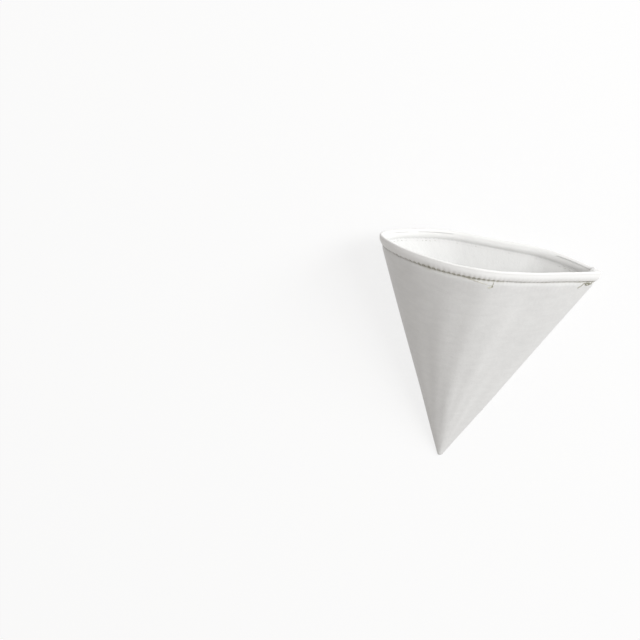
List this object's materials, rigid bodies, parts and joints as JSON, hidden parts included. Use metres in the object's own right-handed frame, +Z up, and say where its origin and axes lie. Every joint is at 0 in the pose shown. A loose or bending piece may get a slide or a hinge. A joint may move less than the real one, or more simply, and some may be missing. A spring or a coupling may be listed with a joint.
{
  "type": "maple syrup filter cone",
  "caption": "Sewn cone-shaped felt bag that strains hot syrup, with a turned and stitched hem round its open mouth.",
  "frame": {"origin": "middle of the box that the cone covers on the surface it lies on, at that surface", "axes": "+Z up, square to the panel that it lies on; +Y from the closed tip to the open mouth; +X from the folded edge to the seamed edge"},
  "size_m": [0.1932, 0.1942, 0.0806],
  "materials": {
    "felt": "white needled polyester felt, matt, faintly fibrous",
    "thread": "fine spun polyester sewing thread, off-white"
  },
  "bodies": {
    "root": {"felt_cone": "felt"}
  },
  "joints": []
}
